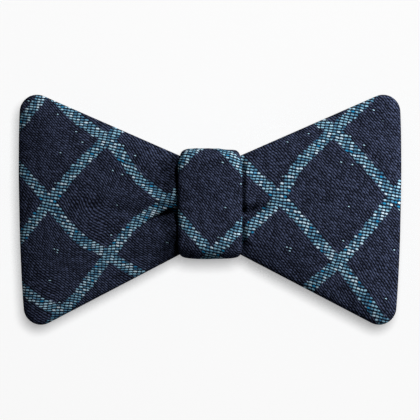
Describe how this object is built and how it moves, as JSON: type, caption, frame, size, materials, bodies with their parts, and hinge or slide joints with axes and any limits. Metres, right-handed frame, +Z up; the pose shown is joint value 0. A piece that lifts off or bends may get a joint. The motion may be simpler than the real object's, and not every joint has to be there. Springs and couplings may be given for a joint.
{
  "type": "bow tie",
  "caption": "Pre-tied butterfly bow tie in a bias windowpane cloth, with a wrapped knot and a sprung lever clip behind that grips the collar.",
  "frame": {"origin": "centre of the knot's flat back face, which rests against the collar stud", "axes": "+X across the bow, to the right of someone facing it; +Z up as worn; the front faces -Y, and +Y points at the wearer's collar"},
  "size_m": [0.1142, 0.0193, 0.069],
  "materials": {
    "windowpane_cloth": "navy wool and silk weave with a light blue windowpane check",
    "interlining": "natural wool and cotton interlining",
    "sewing_thread": "navy spun polyester thread",
    "clip_steel": "nickel-plated pressed steel",
    "pin_steel": "plain drawn steel wire"
  },
  "bodies": {
    "bow": {"bow_front_panel": "windowpane_cloth", "bow_back_panel": "windowpane_cloth", "bow_interlining": "interlining", "edge_seam_thread": "sewing_thread", "waist_binding_thread": "sewing_thread", "knot_band": "windowpane_cloth", "knot_interlining": "interlining", "knot_back_stitches": "sewing_thread", "clip_frame": "clip_steel", "left_hinge_pin": "pin_steel", "right_hinge_pin": "pin_steel", "left_torsion_spring": "pin_steel", "right_torsion_spring": "pin_steel", "clip_tack_stitches": "sewing_thread"},
    "left_lever": {"left_clip_lever": "clip_steel"},
    "right_lever": {"right_clip_lever": "clip_steel"}
  },
  "joints": [
    {"name": "left_lever_hinge", "type": "hinge", "parent": "bow", "child": "left_lever", "pos_m": [-0.0175, 0.002, 0], "axis": [0, 0, -1], "range_deg": [0, 40], "stiffness_Nm_per_rad": 0.02, "springref_deg": -34.38, "deforming": ["left_torsion_spring"]},
    {"name": "right_lever_hinge", "type": "hinge", "parent": "bow", "child": "right_lever", "pos_m": [0.0175, 0.002, 0], "axis": [0, 0, 1], "range_deg": [0, 40], "stiffness_Nm_per_rad": 0.02, "springref_deg": -34.38, "deforming": ["right_torsion_spring"]}
  ]
}
